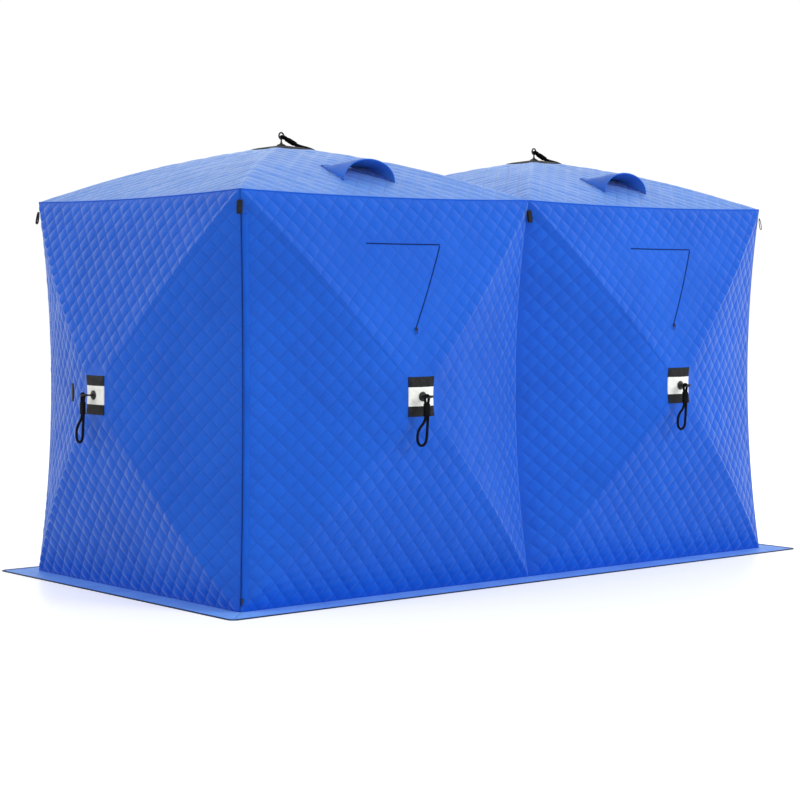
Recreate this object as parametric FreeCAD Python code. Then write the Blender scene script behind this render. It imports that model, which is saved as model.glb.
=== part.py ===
"""Double-bay pop-up hub shelter for ice fishing, in millimetres.

Two square bays stand side by side along X, with no wall between them and no floor. Six wall panels and
two roof panels are quilted cloth, each held out by four poles that spread from a hub at its middle.
+Z is up, the front is -Y, and the origin is on the ground under the middle of the shelter.
Every panel is built in its own coordinates: x across it, y up it (or to the back, on a roof), z outward.
"""
import FreeCAD, Part
import math
import os
from FreeCAD import Matrix, Placement, Vector

# The shelter
BAY = 1750.0             # side of one square bay, from corner to corner on the ground
EAVE = 1870.0            # height of the eaves' corners
WALL_BULGE = 211.0       # how far a wall hub stands out from its corners
ROOF_RISE = 278.0        # how far a roof hub stands above the eaves
CLOTH = 4.0              # thickness of the quilted cloth
CORNER_DRAW = 45.0       # standing corners pull in at half height, this much along X and along Y
SEAM_DRAW = 92.0         # the seam between two bays pulls in at half height, along Y
EAVE_SAG = 14.0          # the eaves and the valley sag at the middle
PANEL_GAP = 5.0          # each panel stops this short of its nominal edges
RIDGE_GAP = 1.5          # each facet stops this short of the ridges
HUB_CUT = 0.94           # the facets stop at this part of the way from edge to hub
FACET_CUTS = (4, 2)      # solids in one facet, along its edge and towards the hub

# Poles
POLE_BOW = 35.0          # how far a pole bows outward from its chord
POLE_RADIUS = 5.5
FERRULE_RADIUS = 7.5
FERRULE_NOSE = 9.0       # ferrule beyond the pin, towards the hub's middle
FERRULE_LENGTH = 62.0    # ferrule beyond the pin, along the pole
SOCKET_RADIUS = 6.0      # bore that takes the pole, in the ferrule and in the tip cap
SOCKET_START = 26.0
POLE_START = 28.0
TIP_SHORT = 50.0         # the tip cap's middle stops this short of the panel's corner
TIP_DEPTH = 16.0         # the tip's middle lies this deep under the outside of the cloth
CAP_LENGTH = 30.0
CAP_NOSE = 6.0
POLE_END = 8.0
CAP_BOTTOM = 4.0

# Hubs
HUB_RADIUS = 48.0
HUB_TOP = 12.0           # top of the block, below the outside of the cloth
HUB_THICK = 26.0
PIN_CIRCLE = 34.0
PIN_RADIUS = 2.5
PIN_LENGTH = 40.0
PIN_FIT = 0.05           # radial clearance of a pin in the block
PIVOT_FIT = 0.08         # radial clearance of a pin in a ferrule
SLOT_WIDTH = 16.4
SLOT_START = 18.0
BOLT_RADIUS = 4.0
BOLT_FIT = 0.2
BOLT_BELOW = 8.0         # bolt thread beyond the underside of the block
NUT_ACROSS = 13.0
NUT_HEIGHT = 6.5
INNER_WASHER = (20.0, 2.5)
OUTER_WASHER = (22.0, 3.0)
WASHER_BOSS = (20.0, 10.0, 5.0)       # its cone: radius at the foot, radius at the top and height
RING_HEIGHT = 51.0       # middle of the ring above the outside of the cloth
RING_RADIUS = 16.0
RING_WIRE = 4.0
WALL_RING_TILT = 80.0    # degrees that a wall hub's ring is turned from upright
ROOF_RING_TURN = 8.0     # degrees from +X that a roof hub's pull loop points
ROOF_PULL_DIP = 21.0     # degrees that it slopes down towards the roof

# Patches over the hubs
PATCH_THICK = 2.0
PATCH_TOP = 3.0          # top of the patch at its middle, above the outside of the cloth
WALL_PATCH = (79.0, 92.0)
WALL_PATCH_DROP = 7.0
WALL_BANDS = (44.0, -44.0)
ROOF_PATCH = (110.0, 110.0)
ROOF_PATCH_DROP = 17.0

# Pull loops
ROPE_RADIUS = 6.5
SLEEVE_SPAN = (28.0, 86.0)
SLEEVE_INNER = (14.3, 7.0)
SLEEVE_WALL = 1.6
ARC_SHARE = 0.45         # part of the shorter run beside a corner that its arc takes up
PULL_ROUTE = [           # across the loop, and down from the ring's wire that it hangs on
    (-6.7, 60), (-6.6, 31), (-11.3, 10), (-11.3, -11.3), (11.3, -11.3), (11.3, 10), (6.6, 31), (6.7, 61),
    (6.9, 92), (4.5, 123), (2, 153), (0, 180), (-5, 204), (-21, 218), (-41, 218), (-54, 202), (-57, 178),
    (-52, 153), (-38, 133), (-20, 117), (-6.8, 97), (-6.7, 69)]

# Skirt
SKIRT_WIDTH = 145.0
SKIRT_THICK = 3.0
SKIRT_CORNER = 30.0
BINDING_WIDTH = 8.0
BINDING_THICK = 4.4
SKIRT_SLIT = 0.5

# Vent hoods, on the front facet of each roof
HOOD_MOUTH = (155.0, 106.0, -700.0)   # half width, height, place up the panel
HOOD_BACK = (131.0, 3.5, -495.0)
HOOD_THICK = 2.0
HOOD_LIFT = 3.5
BRIM_RADIUS = 3.5

# Webbing loops at the upper corners
LOOP_DROP = 48.0
LOOP_LENGTH = 63.0
LOOP_WIDTH = 25.0
LOOP_DEPTH = 14.0
LOOP_THICK = 2.0
LOOP_STAND = 3.0

# Trim on the walls: window zips, the door zip and a webbing keeper
ZIP_WIDTH = 9.0
ZIP_THICK = 2.0
TRIM_LIFT = 0.6
WINDOW_TOP = ((-223.0, 714.0), (224.0, 714.0))
WINDOW_SIDE = ((224.0, 708.0), (-6.0, 314.0))
DOOR_ZIP = ((-862.0, -905.0), (-862.0, 838.0))
DOOR_ZIP_WIDTH = 14.0
KEEPER = ((-294.0, -42.0), (-294.0, 44.0))
KEEPER_WIDTH = 30.0

HALF = BAY / 2
X_DIR, Y_DIR, Z_DIR = Vector(1, 0, 0), Vector(0, 1, 0), Vector(0, 0, 1)
FACETS = {               # the two corners of the edge that each facet hangs from
    "left": ((-1, -1), (-1, 1)), "right": ((1, -1), (1, 1)),
    "lower": ((-1, -1), (1, -1)), "upper": ((-1, 1), (1, 1))}


def edge_draw(middle):
    """How far the middle of a panel's edge is pulled from the straight line, from where that edge is."""
    if middle.z < 1:
        return Vector(0, 0, 0)
    if abs(middle.z - EAVE) < 1:
        return Vector(0, 0, -EAVE_SAG)
    side = math.copysign(1, middle.y)
    if abs(middle.x) < 1:
        return Vector(0, -side * SEAM_DRAW, 0)
    return Vector(-math.copysign(CORNER_DRAW, middle.x), -side * CORNER_DRAW, 0)


class Panel:
    """One wall or roof panel: its place, its size and the shape of its cloth."""

    def __init__(self, name, centre, across, outward, half_height, bulge):
        self.name = name
        self.centre = Vector(*centre)
        self.across = Vector(*across)
        self.outward = Vector(*outward)
        self.along = self.outward.cross(self.across)
        self.half = (HALF, half_height)
        self.bulge = bulge
        self.is_roof = self.outward.z > 0.5

    def place(self, shape):
        """Put a shape that is in the panel's coordinates where the panel stands."""
        u, v, n, c = self.across, self.along, self.outward, self.centre
        matrix = Matrix(u.x, v.x, n.x, c.x, u.y, v.y, n.y, c.y, u.z, v.z, n.z, c.z, 0, 0, 0, 1)
        placed = shape.copy()
        placed.Placement = Placement(matrix)
        return placed

    def ridge_height(self, t):
        """Height of a ridge, t of the way from the corner to the hub."""
        return self.bulge * t + 4 * POLE_BOW * t * (1 - t)

    def draw(self, facet):
        """The facet's edge draw, in the panel's coordinates."""
        (ax, ay), (bx, by) = FACETS[facet]
        middle = self.centre + self.across * (HALF * (ax + bx) / 2) + self.along * (self.half[1] * (ay + by) / 2)
        pull = edge_draw(middle)
        return Vector(pull.dot(self.across), pull.dot(self.along), pull.dot(self.outward))

    def facet_point(self, facet, s, t, gap=0.0):
        """A point of a facet's outside: s along its edge, t of the way from that edge to the hub."""
        (ax, ay), (bx, by) = FACETS[facet]
        half_x, half_y = self.half[0] - PANEL_GAP, self.half[1] - PANEL_GAP
        start, end = Vector(ax * half_x, ay * half_y, 0), Vector(bx * half_x, by * half_y, 0)
        inward = (end - start).normalize() * gap
        flat = (start + inward) * (1 - s) * (1 - t) + (end - inward) * s * (1 - t) + inward * (1 - 2 * s) * t
        sag = self.draw(facet) * (4 * s * (1 - s) * (1 - t))
        return flat + sag + Vector(0, 0, self.ridge_height(t))

    def cloth_point(self, facet, x, y):
        """A point of a facet's outside, from its place on the flat panel."""
        across, up = (y, x) if facet in ("left", "right") else (x, y)
        half_across, half_up = self.half if facet in ("lower", "upper") else self.half[::-1]
        t = 1 - abs(up) / half_up
        s = (across / (half_across * (1 - t)) + 1) / 2
        return self.facet_point(facet, s, t)


def bezier_surface(point):
    """A curved surface through 3 by 3 points, point(i, j) with i and j in 0, 0.5, 1."""
    steps = (0.0, 0.5, 1.0)
    grid = [[point(i, j) for j in steps] for i in steps]
    for row in grid:
        row[1] = row[1] * 2 - (row[0] + row[2]) * 0.5
    grid[1] = [grid[1][j] * 2 - (grid[0][j] + grid[2][j]) * 0.5 for j in range(3)]
    surface = Part.BezierSurface()
    surface.increase(2, 2)
    for i in range(3):
        for j in range(3):
            surface.setPole(i + 1, j + 1, grid[i][j])
    return surface


def facet_sheets(panel, facet):
    """One facet of cloth, as shallow solids side by side, so that a hull round each stays close to the cloth."""
    surface = bezier_surface(lambda s, t: panel.facet_point(facet, s, t * HUB_CUT, RIDGE_GAP))
    columns, rows = FACET_CUTS
    sheets = []
    for i in range(columns):
        for j in range(rows):
            share = surface.copy()
            share.segment(i / columns, (i + 1) / columns, j / rows, (j + 1) / rows)
            sheets.append(share.toShape().extrude(Z_DIR * -CLOTH))
    return sheets


def strip(panel, facet, ends, width, thickness):
    """A flat strip that lies on the outside of a facet between two places."""
    start, end = Vector(*ends[0]), Vector(*ends[1])
    side = Z_DIR.cross(end - start).normalize() * width

    def point(i, j):
        flat = start + (end - start) * i + side * (j - 0.5)
        return panel.cloth_point(facet, flat.x, flat.y) + Z_DIR * (TRIM_LIFT + thickness)
    return bezier_surface(point).toShape().extrude(Z_DIR * -thickness)


def panel_trim(panel):
    """The zips and the keeper that are sewn to a wall."""
    pieces = []
    if panel.name in ("front_left", "front_right"):
        pieces.append(strip(panel, "upper", WINDOW_TOP, ZIP_WIDTH, ZIP_THICK))
        pieces.append(strip(panel, "upper", WINDOW_SIDE, ZIP_WIDTH, ZIP_THICK))
    if panel.name == "front_left":
        pieces.append(strip(panel, "left", DOOR_ZIP, DOOR_ZIP_WIDTH, ZIP_THICK))
    if panel.name == "end_left":
        pieces.append(strip(panel, "left", KEEPER, KEEPER_WIDTH, ZIP_THICK))
    return pieces


def corner_direction(panel, corner):
    return Vector(corner[0] * panel.half[0], corner[1] * panel.half[1], 0).normalize()


def disc(radius, bottom, top, hole=0.0):
    shape = Part.makeCylinder(radius, top - bottom, Vector(0, 0, bottom))
    if hole:
        shape = shape.cut(Part.makeCylinder(hole, top - bottom, Vector(0, 0, bottom)))
    return shape


def outer_washer(bottom):
    """The disc that clamps the patch, with a coned boss under the nut."""
    radius, thickness = OUTER_WASHER
    foot_radius, top_radius, height = WASHER_BOSS
    plate = Part.makeCylinder(radius, thickness, Vector(0, 0, bottom))
    boss = Part.makeCone(foot_radius, top_radius, height, Vector(0, 0, bottom + thickness))
    return plate.fuse(boss).cut(disc(BOLT_RADIUS + BOLT_FIT, bottom, bottom + thickness + height))


def nut(bottom):
    corner = NUT_ACROSS / math.sqrt(3)
    turns = [math.radians(60 * i) for i in range(7)]
    outline = Part.makePolygon([Vector(corner * math.cos(a), corner * math.sin(a), bottom) for a in turns])
    body = Part.Face(outline).extrude(Z_DIR * NUT_HEIGHT)
    return body.cut(Part.makeCylinder(BOLT_RADIUS + BOLT_FIT, NUT_HEIGHT, Vector(0, 0, bottom)))


def hub_block(panel, top):
    """The moulded block, with a slot for each pole's ferrule and a hole for each pin."""
    bottom = top - HUB_THICK
    block = disc(HUB_RADIUS, bottom, top, BOLT_RADIUS + BOLT_FIT)
    pins = []
    for corner in [(-1, -1), (1, -1), (1, 1), (-1, 1)]:
        direction = corner_direction(panel, corner)
        cross = Z_DIR.cross(direction)
        slot = Part.makeBox(HUB_RADIUS, SLOT_WIDTH, HUB_THICK, Vector(SLOT_START, -SLOT_WIDTH / 2, bottom))
        slot.rotate(Vector(0, 0, 0), Z_DIR, math.degrees(math.atan2(direction.y, direction.x)))
        middle = direction * PIN_CIRCLE + Z_DIR * (top - HUB_THICK / 2)
        end = middle - cross * (PIN_LENGTH / 2)
        block = block.cut(slot).cut(Part.makeCylinder(PIN_RADIUS + PIN_FIT, PIN_LENGTH, end, cross))
        pins.append(Part.makeCylinder(PIN_RADIUS, PIN_LENGTH, end, cross))
    return [block] + pins


def eye_bolt(panel, block_top, ring_axis):
    """The through bolt with the ring at its outer end."""
    middle = panel.bulge + RING_HEIGHT
    bottom = block_top - HUB_THICK - BOLT_BELOW
    shank = Part.makeCylinder(BOLT_RADIUS, middle - RING_RADIUS - bottom, Vector(0, 0, bottom))
    return shank.fuse(Part.makeTorus(RING_RADIUS, RING_WIRE, Vector(0, 0, middle), ring_axis))


def hub_patch(panel):
    """The patch sewn over the hub, a very shallow pyramid: three bands on a wall, one on a roof."""
    half, drop = (ROOF_PATCH, ROOF_PATCH_DROP) if panel.is_roof else (WALL_PATCH, WALL_PATCH_DROP)
    peak = panel.bulge + PATCH_TOP
    tip = Vector(0, 0, peak)
    corners = [Vector(x * half[0], y * half[1], peak - drop) for x, y in ((-1, -1), (1, -1), (1, 1), (-1, 1))]
    sheet = None
    for first, second in zip(corners, corners[1:] + corners[:1]):
        side = Part.Face(Part.makePolygon([tip, first, second, tip])).extrude(Z_DIR * -PATCH_THICK)
        sheet = side if sheet is None else sheet.fuse(side)
    sheet = sheet.cut(disc(BOLT_RADIUS + BOLT_FIT, peak - drop, peak + 1))
    cuts = [half[1]] + (list(WALL_BANDS) if not panel.is_roof else []) + [-half[1]]
    bands = []
    for upper, lower in zip(cuts, cuts[1:]):
        band_box = Part.makeBox(2 * half[0], upper - lower, 4 * drop, Vector(-half[0], lower, peak - 2 * drop))
        bands.append(sheet.common(band_box))
    return bands


def pull_frame(panel):
    """Where on its ring a pull loop hangs, its own two directions, and the ring's axis."""
    ring = Vector(0, 0, panel.bulge + RING_HEIGHT)
    if panel.is_roof:
        turn, dip = math.radians(ROOF_RING_TURN), math.radians(ROOF_PULL_DIP)
        ahead = Vector(math.cos(turn), math.sin(turn), 0)
        across, hang = Z_DIR.cross(ahead), ahead * math.cos(dip) - Z_DIR * math.sin(dip)
        return ring + hang * RING_RADIUS, across, hang, across
    tilt = math.radians(WALL_RING_TILT)
    lowest = Vector(-math.sin(tilt), -math.cos(tilt), 0)
    return ring + lowest * RING_RADIUS, X_DIR, Y_DIR * -1, lowest.cross(Z_DIR)


def make_hub(panel):
    """The hub's block and pins, and the eye bolt, washers and nuts that clamp the cloth to it."""
    block_top = panel.bulge - HUB_TOP
    hole = BOLT_RADIUS + BOLT_FIT
    patch_top = panel.bulge + PATCH_TOP
    pieces = hub_block(panel, block_top)
    pieces.append(eye_bolt(panel, block_top, pull_frame(panel)[3]))
    pieces.append(disc(INNER_WASHER[0], block_top, block_top + INNER_WASHER[1], hole))
    pieces.append(outer_washer(patch_top))
    pieces.append(nut(patch_top + OUTER_WASHER[1] + WASHER_BOSS[2]))
    pieces.append(nut(block_top - HUB_THICK - NUT_HEIGHT))
    return pieces


def make_pole(panel, corner):
    """A pivot ferrule, a bowed pole and a tip cap, from the hub's pin towards one corner."""
    direction = corner_direction(panel, corner)
    cross = Z_DIR.cross(direction)
    reach = math.hypot(*panel.half)
    pin = direction * PIN_CIRCLE + Z_DIR * (panel.bulge - HUB_TOP - HUB_THICK / 2)
    tip = direction * (reach - TIP_SHORT) + Z_DIR * (panel.ridge_height(TIP_SHORT / reach) - TIP_DEPTH)
    chord = (tip - pin).Length
    along = (tip - pin).normalize()
    outward = along.cross(cross)
    if outward.z < 0:
        outward = outward * -1
    arc_radius = (chord * chord / 4 + POLE_BOW * POLE_BOW) / (2 * POLE_BOW)
    arc_centre = (pin + tip) * 0.5 + outward * (POLE_BOW - arc_radius)
    half_angle = math.asin(chord / 2 / arc_radius)

    def on_arc(angle):
        """The point and the heading at an angle from the pole's middle."""
        spoke = outward * math.cos(angle) + along * math.sin(angle)
        heading = along * math.cos(angle) - outward * math.sin(angle)
        return arc_centre + spoke * arc_radius, heading

    first, last = POLE_START / arc_radius - half_angle, half_angle - POLE_END / arc_radius
    start, heading = on_arc(first)
    section = Part.Face(Part.Wire(Part.makeCircle(POLE_RADIUS, start, heading)))
    turn_axis = outward.cross(along)
    rod = section.revolve(arc_centre, turn_axis, math.degrees(last - first))

    out = on_arc(-half_angle)[1]
    length = FERRULE_NOSE + FERRULE_LENGTH
    ferrule = Part.makeCylinder(FERRULE_RADIUS, length, pin - out * FERRULE_NOSE, out)
    ferrule = ferrule.cut(Part.makeCylinder(SOCKET_RADIUS, length, pin + out * SOCKET_START, out))
    bore_start = pin - cross * (2 * FERRULE_RADIUS)
    ferrule = ferrule.cut(Part.makeCylinder(PIN_RADIUS + PIVOT_FIT, 4 * FERRULE_RADIUS, bore_start, cross))

    back = on_arc(half_angle)[1] * -1
    cap = Part.makeCylinder(FERRULE_RADIUS, CAP_LENGTH, tip - back * CAP_NOSE, back)
    cap = cap.cut(Part.makeCylinder(SOCKET_RADIUS, CAP_LENGTH, tip + back * CAP_BOTTOM, back))
    return [ferrule, rod, cap]


def tube(points, radius, label):
    """A tube of straight runs joined by tangent arcs, and its middle line's length."""
    edges, radii = [], []
    at = points[0]
    for before, corner, after in zip(points, points[1:], points[2:]):
        come, go = (before - corner).normalize(), (after - corner).normalize()
        half_turn = (math.pi - come.getAngle(go)) / 2
        cut = ARC_SHARE * min((before - corner).Length, (after - corner).Length)
        arc_radius = cut / math.tan(half_turn)
        radii.append(arc_radius)
        enter, leave = corner + come * cut, corner + go * cut
        bisector = (come + go).normalize()
        reach = math.hypot(cut, arc_radius)
        middle = corner + bisector * (reach - arc_radius)
        edges.append(Part.LineSegment(at, enter).toShape())
        edges.append(Part.Arc(enter, middle, leave).toShape())
        at = leave
    edges.append(Part.LineSegment(at, points[-1]).toShape())
    path = Part.Wire(edges)
    section = Part.Wire(Part.makeCircle(radius, points[0], points[1] - points[0]))
    shape = path.makePipeShell([section], True, False)
    solid = Part.Solid(shape) if shape.ShapeType == "Shell" else shape
    expected = math.pi * radius ** 2 * path.Length
    print(label, "length", round(path.Length, 1), "volume ratio", round(solid.Volume / expected, 4),
          "radii", [round(r, 1) for r in radii])
    return solid


def make_pull(panel):
    """A rope loop through the hub's ring, closed by a sleeve that hides its two ends."""
    wire, across, hang, _ = pull_frame(panel)
    rope = tube([wire + across * p + hang * q for p, q in PULL_ROUTE], ROPE_RADIUS, "pull_" + panel.name)
    face = across.cross(hang)

    def block(wide, thick, start, end):
        base = wire + hang * start
        outline = [base + across * (wide * i) + face * (thick * j) for i, j in
                   ((-1, -1), (1, -1), (1, 1), (-1, 1), (-1, -1))]
        return Part.Face(Part.makePolygon(outline)).extrude(hang * (end - start))
    wide, thick = SLEEVE_INNER
    sleeve = block(wide + SLEEVE_WALL, thick + SLEEVE_WALL, *SLEEVE_SPAN)
    return [rope, sleeve.cut(block(wide, thick, *SLEEVE_SPAN))]


def arch(half_width, height, y, base):
    """A half ellipse across the panel, closed along its base."""
    middle = Vector(0, y, base)
    ellipse = Part.Ellipse(middle + X_DIR * half_width, middle + Z_DIR * height, middle)
    curve = Part.ArcOfEllipse(ellipse, 0, math.pi).toShape()
    floor = Part.makeLine(middle - X_DIR * half_width, middle + X_DIR * half_width)
    return curve, Part.Wire([curve, floor])


def make_hood(panel):
    """A vent hood: an arched mouth that faces the front and falls to a straight seam at the back."""
    ends = []
    for half_width, height, y in (HOOD_MOUTH, HOOD_BACK):
        ends.append((half_width, height, y, panel.cloth_point("lower", half_width, y).z + HOOD_LIFT))
    (mouth_width, mouth_height, mouth_y, mouth_base), back = ends
    outer = Part.makeLoft([arch(*ends[0])[1], arch(*back)[1]], True, True)
    hollow_ends = [(w - HOOD_THICK, h - HOOD_THICK, y, base - 0.01) for w, h, y, base in ends]
    shell = outer.cut(Part.makeLoft([arch(*end)[1] for end in hollow_ends], True, True))
    brim_line = arch(mouth_width, mouth_height, mouth_y - BRIM_RADIUS - 0.3, mouth_base + 0.5)[0]
    start = brim_line.valueAt(brim_line.FirstParameter)
    section = Part.Wire(Part.makeCircle(BRIM_RADIUS, start, Z_DIR))
    brim = Part.Wire(brim_line).makePipeShell([section], True, False)
    return [shell, brim]


def rounded_rectangle(half_x, half_y, corner):
    box = Part.makeBox(2 * half_x, 2 * half_y, BINDING_THICK, Vector(-half_x, -half_y, 0))
    upright = [edge for edge in box.Edges if abs(edge.tangentAt(edge.FirstParameter).z) > 0.9]
    return box.makeFillet(corner, upright)


def make_skirt():
    """Four mitred flaps that lie on the ground round the walls, and the binding on their outer edges."""
    inner = (BAY - CLOTH, HALF - CLOTH)
    seam = (BAY + SKIRT_WIDTH - BINDING_WIDTH, HALF + SKIRT_WIDTH - BINDING_WIDTH)
    outer = (BAY + SKIRT_WIDTH, HALF + SKIRT_WIDTH)
    hole = Part.makeBox(2 * inner[0], 2 * inner[1], BINDING_THICK, Vector(-inner[0], -inner[1], 0))
    middle = rounded_rectangle(*seam, SKIRT_CORNER - BINDING_WIDTH)
    slab = Part.makeBox(2 * outer[0], 2 * outer[1], SKIRT_THICK, Vector(-outer[0], -outer[1], 0))
    flap_ring = middle.cut(hole).common(slab)
    binding_ring = rounded_rectangle(*outer, SKIRT_CORNER).cut(middle)
    reach = SKIRT_WIDTH + CLOTH + 1
    pieces = []
    for side in (-1, 1):
        long_side = [(-inner[0], inner[1]), (inner[0], inner[1]),
                     (inner[0] + reach, inner[1] + reach), (-inner[0] - reach, inner[1] + reach)]
        short_side = [(inner[0], -inner[1]), (inner[0], inner[1]),
                      (inner[0] + reach, inner[1] + reach), (inner[0] + reach, -inner[1] - reach)]
        for outline, (shift_x, shift_y) in ((long_side, (0, SKIRT_SLIT)), (short_side, (SKIRT_SLIT, 0))):
            points = [Vector(side * (x + shift_x), side * (y + shift_y), 0) for x, y in outline]
            wedge = Part.Face(Part.makePolygon(points + points[:1])).extrude(Z_DIR * BINDING_THICK)
            pieces += [flap_ring.common(wedge), binding_ring.common(wedge)]
    return pieces


def make_guy_loops():
    """A loop of webbing under each upper corner, standing out from it."""
    pieces = []
    for x in (-BAY, 0, BAY):
        for y in (-HALF, HALF):
            out = Vector((x > 1) - (x < -1), math.copysign(1, y), 0).normalize()
            angle = math.degrees(math.atan2(out.y, out.x))
            top = EAVE - LOOP_DROP
            loop = Part.makeBox(LOOP_DEPTH, LOOP_WIDTH, LOOP_LENGTH,
                                Vector(LOOP_STAND, -LOOP_WIDTH / 2, top - LOOP_LENGTH))
            level = [e for e in loop.Edges if abs(e.tangentAt(e.FirstParameter).y) > 0.9]
            loop = loop.makeFillet(LOOP_DEPTH / 2 - 0.5, level)
            space = Part.makeBox(LOOP_DEPTH - 2 * LOOP_THICK, LOOP_WIDTH, LOOP_LENGTH - 2 * LOOP_THICK,
                                 Vector(LOOP_STAND + LOOP_THICK, -LOOP_WIDTH / 2,
                                        top - LOOP_LENGTH + LOOP_THICK))
            level = [e for e in space.Edges if abs(e.tangentAt(e.FirstParameter).y) > 0.9]
            loop = loop.cut(space.makeFillet(LOOP_DEPTH / 2 - LOOP_THICK - 0.5, level))
            loop.rotate(Vector(0, 0, 0), Z_DIR, angle)
            loop.translate(Vector(x, y, 0))
            pieces.append(loop)
    return pieces


def make_panels():
    mid = EAVE / 2
    wall = (mid, WALL_BULGE)
    roof = (HALF, ROOF_RISE)
    return [
        Panel("front_left", (-HALF, -HALF, mid), (1, 0, 0), (0, -1, 0), *wall),
        Panel("front_right", (HALF, -HALF, mid), (1, 0, 0), (0, -1, 0), *wall),
        Panel("back_left", (-HALF, HALF, mid), (-1, 0, 0), (0, 1, 0), *wall),
        Panel("back_right", (HALF, HALF, mid), (-1, 0, 0), (0, 1, 0), *wall),
        Panel("end_left", (-BAY, 0, mid), (0, -1, 0), (-1, 0, 0), *wall),
        Panel("end_right", (BAY, 0, mid), (0, 1, 0), (1, 0, 0), *wall),
        Panel("roof_left", (-HALF, 0, EAVE), (1, 0, 0), (0, 0, 1), *roof),
        Panel("roof_right", (HALF, 0, EAVE), (1, 0, 0), (0, 0, 1), *roof)]


def export(name, solids):
    for solid in solids:
        if not solid.isValid() or solid.Volume <= 0:
            print("BAD SOLID in", name, solid.ShapeType, solid.Volume)
    Part.makeCompound(solids).exportStep("parts/" + name + ".step")


def main():
    os.makedirs("parts", exist_ok=True)
    volumes = {}
    for panel in make_panels():
        nodes = {}
        cloth = "cloth_" + panel.name if panel.is_roof else "wall_" + panel.name
        facets = [sheet for facet in FACETS for sheet in facet_sheets(panel, facet)]
        nodes[cloth] = facets + hub_patch(panel) + panel_trim(panel)
        nodes["hub_" + panel.name] = make_hub(panel)
        nodes["pull_" + panel.name] = make_pull(panel)
        if panel.is_roof:
            nodes["vent_hood_" + panel.name.split("_")[1]] = make_hood(panel)
        for up, up_name in ((-1, "lower"), (1, "upper")):
            for across, across_name in ((-1, "left"), (1, "right")):
                pole_name = "_".join(("pole", panel.name, up_name, across_name))
                nodes[pole_name] = make_pole(panel, (across, up))
        for name, solids in nodes.items():
            volumes[name] = sum(solid.Volume for solid in solids)
            export(name, [panel.place(solid) for solid in solids])
    for name, solids in (("snow_skirt", make_skirt()), ("guy_loops", make_guy_loops())):
        volumes[name] = sum(solid.Volume for solid in solids)
        export(name, solids)
    print(len(volumes), "nodes")
    for kind in ("wall_", "cloth_", "hub_", "pull_", "pole_", "vent_", "snow_", "guy_"):
        print(kind, round(sum(v for k, v in volumes.items() if k.startswith(kind)) / 1e6, 2), "litres")


main()
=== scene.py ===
"""Looks of a double-bay pop-up ice fishing shelter, in metres, in the CAD model's frame.

Every panel is built in its own coordinates: x across it, y up it (or to the back, on a roof), z outward.
A place on a panel is given on the flat panel, and Panel.cloth lifts it to the real curved cloth.
"""
import math
import bmesh
import bpy
import numpy as np
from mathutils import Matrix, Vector, noise


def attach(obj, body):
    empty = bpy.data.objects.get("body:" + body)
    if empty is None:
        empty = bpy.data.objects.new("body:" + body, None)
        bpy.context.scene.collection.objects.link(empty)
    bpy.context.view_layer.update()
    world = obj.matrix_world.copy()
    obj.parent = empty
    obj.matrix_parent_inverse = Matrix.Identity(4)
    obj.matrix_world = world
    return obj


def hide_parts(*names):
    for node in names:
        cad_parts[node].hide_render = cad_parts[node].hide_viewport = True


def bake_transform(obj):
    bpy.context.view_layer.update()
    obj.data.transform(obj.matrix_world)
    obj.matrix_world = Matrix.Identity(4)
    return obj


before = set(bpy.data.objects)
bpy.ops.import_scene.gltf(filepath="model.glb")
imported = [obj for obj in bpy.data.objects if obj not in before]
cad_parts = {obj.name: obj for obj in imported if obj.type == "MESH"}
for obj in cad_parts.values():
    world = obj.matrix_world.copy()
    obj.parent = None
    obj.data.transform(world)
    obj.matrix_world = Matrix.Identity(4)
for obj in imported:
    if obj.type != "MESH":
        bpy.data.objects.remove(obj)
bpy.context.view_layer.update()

# The shelter, as in the CAD model
BAY = 1.75
EAVE = 1.87
WALL_BULGE = 0.211
ROOF_RISE = 0.278
CLOTH = 0.004
CORNER_DRAW = 0.045
SEAM_DRAW = 0.092
EAVE_SAG = 0.014
POLE_BOW = 0.035
HALF = BAY / 2

# Quilting: square cells that stand on a corner
CELL = 0.0635            # side of one cell
CELL_LINES = (0.0, 0.07, 0.18, 0.36, 0.64, 0.82, 0.93)   # a cell's mesh lines, closest at its seams
PUFF = 0.0085            # height of a cell's crown above its seams
PUFF_POWER = 0.7         # less than 1 makes a cell's crown flatter and its sides steeper
ROOF_PUFF = 0.5          # how much of that height a roof's tight cloth keeps
FLAP_PUFF = 0.35         # and how much is left over a window
HUB_FLAT = 0.115         # the quilting is pressed flat this near a hub
HUB_FADE = 0.05          # and rises to its height over this distance
EDGE_FADE = 0.03         # it rises over this distance from a facet's fixed edge
RIPPLE = 0.0022          # height of the slow waves in the cloth
ZIP_FLAT = 0.006         # it is pressed flat this near a zip, the door's flap and the webbing bar
DOOR_FLAT = 0.028
KEEPER_FLAT = 0.018
FLAT_FADE = 0.014
LINING_LINES = (0.0,)

# Where the cloth of a facet would start and stop bending with its hub, as parts of the way from edge to hub;
# Panel.bend works these places out but bends nothing
BEND_START = 0.055
BEND_END = 0.9

POLE_RADIUS = 0.0055
FERRULE_RADIUS = 0.0075
FERRULE_LENGTH = 0.062
FERRULE_NOSE = 0.009
CAP_LENGTH = 0.024
PIN_CIRCLE = 0.034
PIN_DEPTH = 0.025
TIP_SHORT = 0.05
TIP_DEPTH = 0.016

WALL_PATCH = (0.079, 0.092)
WALL_BAND = 0.044
ROOF_PATCH = (0.110, 0.110)
PATCH_LIFT = 0.0022

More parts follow.
